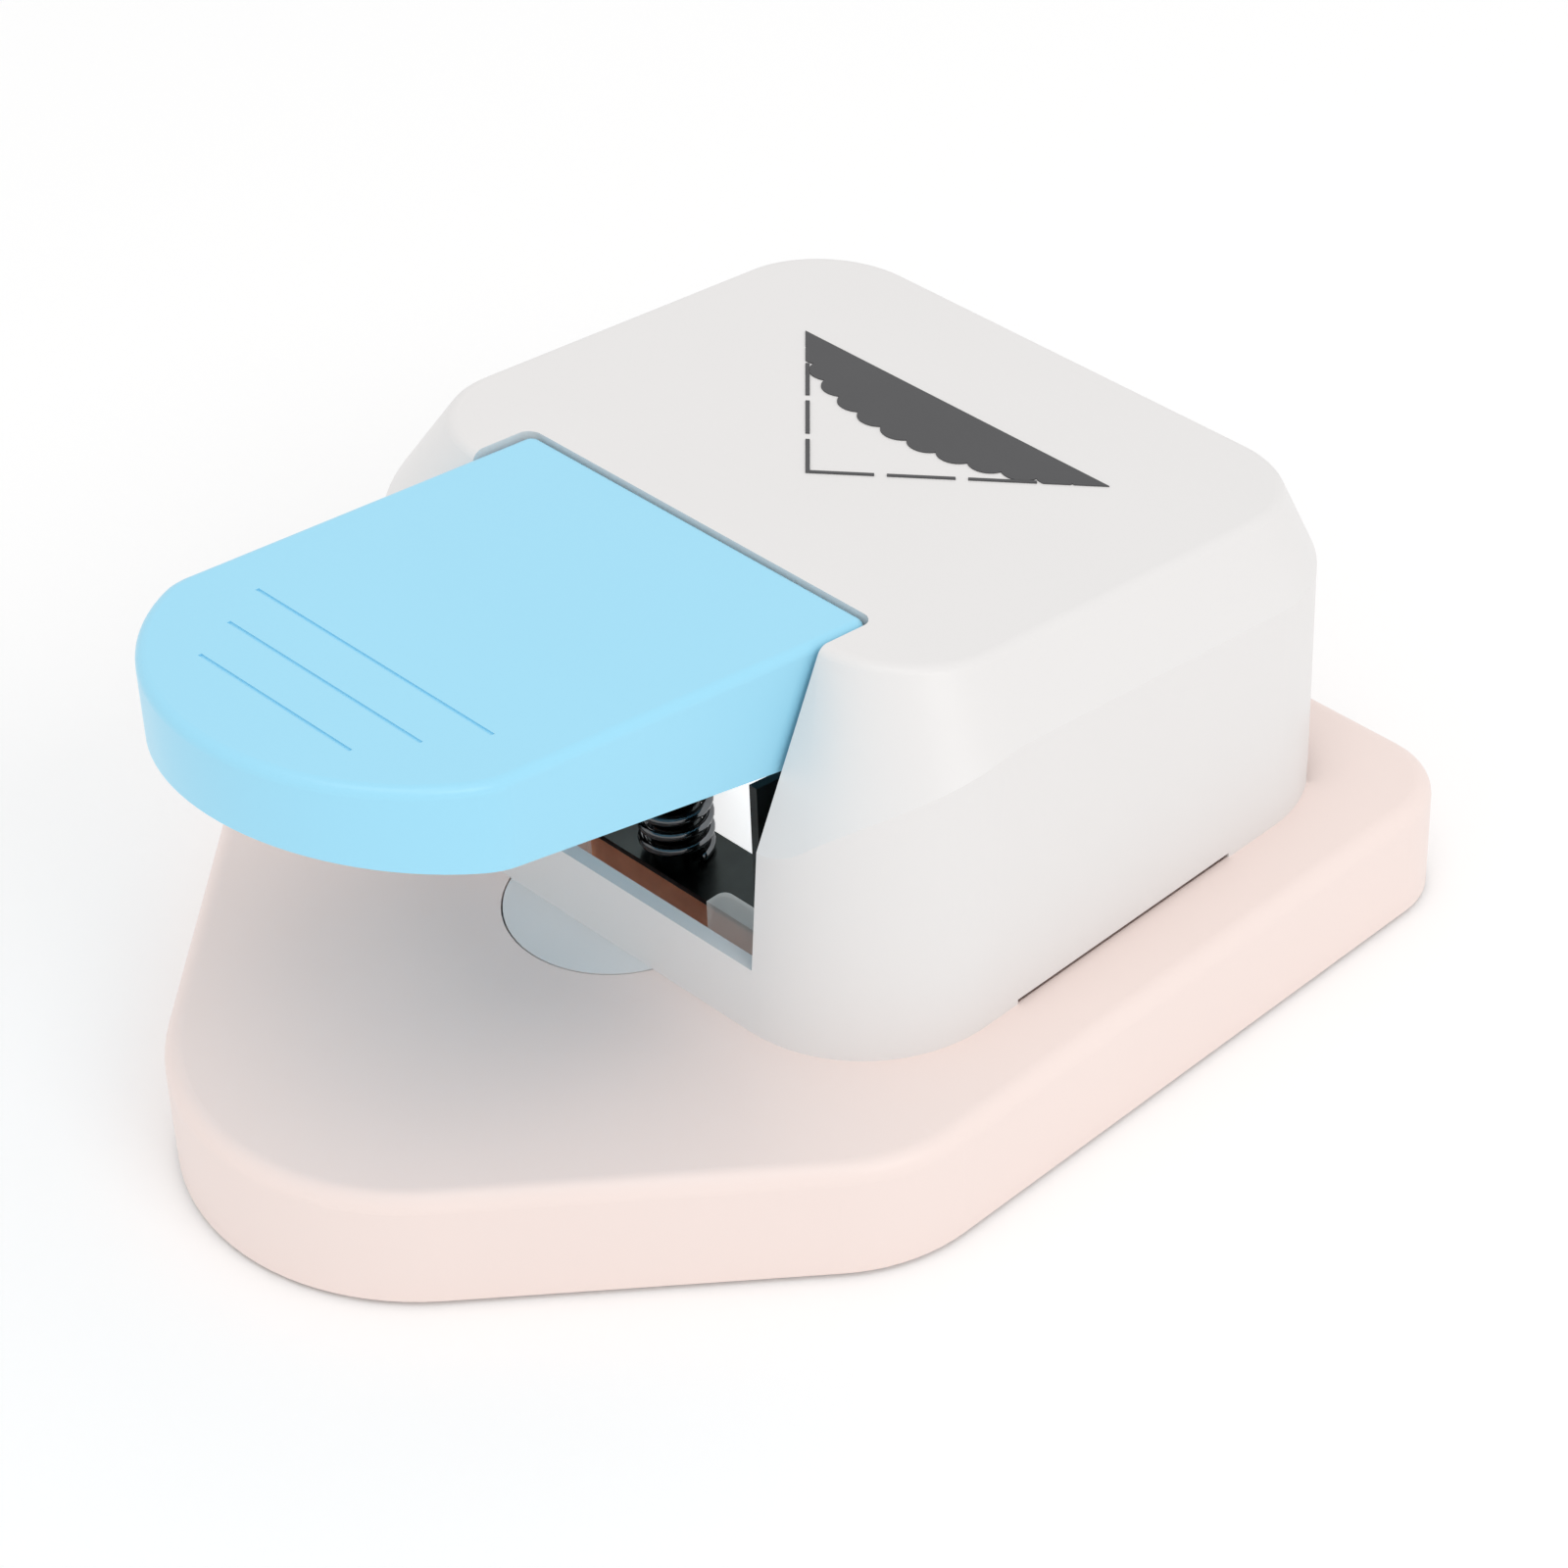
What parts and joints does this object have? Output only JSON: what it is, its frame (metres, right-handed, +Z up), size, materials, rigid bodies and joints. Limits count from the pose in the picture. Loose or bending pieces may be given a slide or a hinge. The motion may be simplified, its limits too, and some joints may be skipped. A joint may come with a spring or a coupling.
{
  "type": "corner rounder",
  "caption": "Desk corner punch with a wide palm lever over a flat chip-collecting base; it cuts a scalloped rounded corner on paper or card.",
  "frame": {"origin": "on the table surface under the middle of the object's bounding box", "axes": "+Z up, -Y towards the lever's tip and the user, +X to the user's right"},
  "size_m": [0.078, 0.0992, 0.0483],
  "materials": {
    "casing_plastic": "satin moulded",
    "base_plastic": "satin moulded",
    "hatch_plastic": "fine spark texture",
    "lever_plastic": "satin moulded",
    "housing_plastic": "satin moulded",
    "carrier_nylon": "moulded",
    "natural_nylon": "translucent moulded",
    "mark_ink": "pad printed",
    "dark_steel": "blackened and polished",
    "plain_steel": "plated",
    "tool_steel": "ground",
    "spring_wire": "drawn and polished",
    "copper_plate": "copper plated",
    "foot_rubber": "matt"
  },
  "bodies": {
    "base": {"base_tray": "base_plastic", "hatch_pins": "plain_steel", "rubber_feet": "foot_rubber", "casing": "casing_plastic", "casing_screws": "plain_steel", "printed_mark": "mark_ink", "die_block": "copper_plate", "stripper_plate": "dark_steel", "stripper_rivets": "plain_steel", "die_screws": "plain_steel", "side_plate_right": "dark_steel", "side_plate_left": "dark_steel", "cross_pins": "plain_steel", "frame_crossbar": "plain_steel", "pivot_pin": "plain_steel", "pivot_clips": "dark_steel", "guide_posts": "plain_steel", "punch_housing": "housing_plastic", "lever_spring": "spring_wire", "lever_spring_post": "dark_steel", "punch_spring_right": "spring_wire", "punch_spring_left": "spring_wire", "edge_clips": "natural_nylon"},
    "lever": {"lever": "lever_plastic", "press_pin": "plain_steel"},
    "punch_unit": {"punch": "tool_steel", "punch_carrier": "carrier_nylon", "punch_screws": "plain_steel"},
    "hatch": {"chip_hatch": "hatch_plastic"}
  },
  "joints": [
    {"name": "lever_hinge", "type": "hinge", "parent": "base", "child": "lever", "pos_m": [0, 0.0375, 0.028], "axis": [1, 0, 0], "range_deg": [0, 11.5], "stiffness_Nm_per_rad": 1.2, "springref_deg": -9.74, "deforming": ["lever_spring"]},
    {"name": "punch_slide", "type": "slide", "parent": "base", "child": "punch_unit", "axis": [0, 0, -1], "range_m": [0, 0.0029], "deforming": ["punch_spring_right", "punch_spring_left"]},
    {"name": "hatch_hinge", "type": "hinge", "parent": "base", "child": "hatch", "pos_m": [0, 0.044, 0.0032], "axis": [1, 0, 0], "range_deg": [0, 80]}
  ],
  "couplings": [
    {"joint": "punch_slide", "follows": "lever_hinge", "m_per_rad": 0.014}
  ]
}
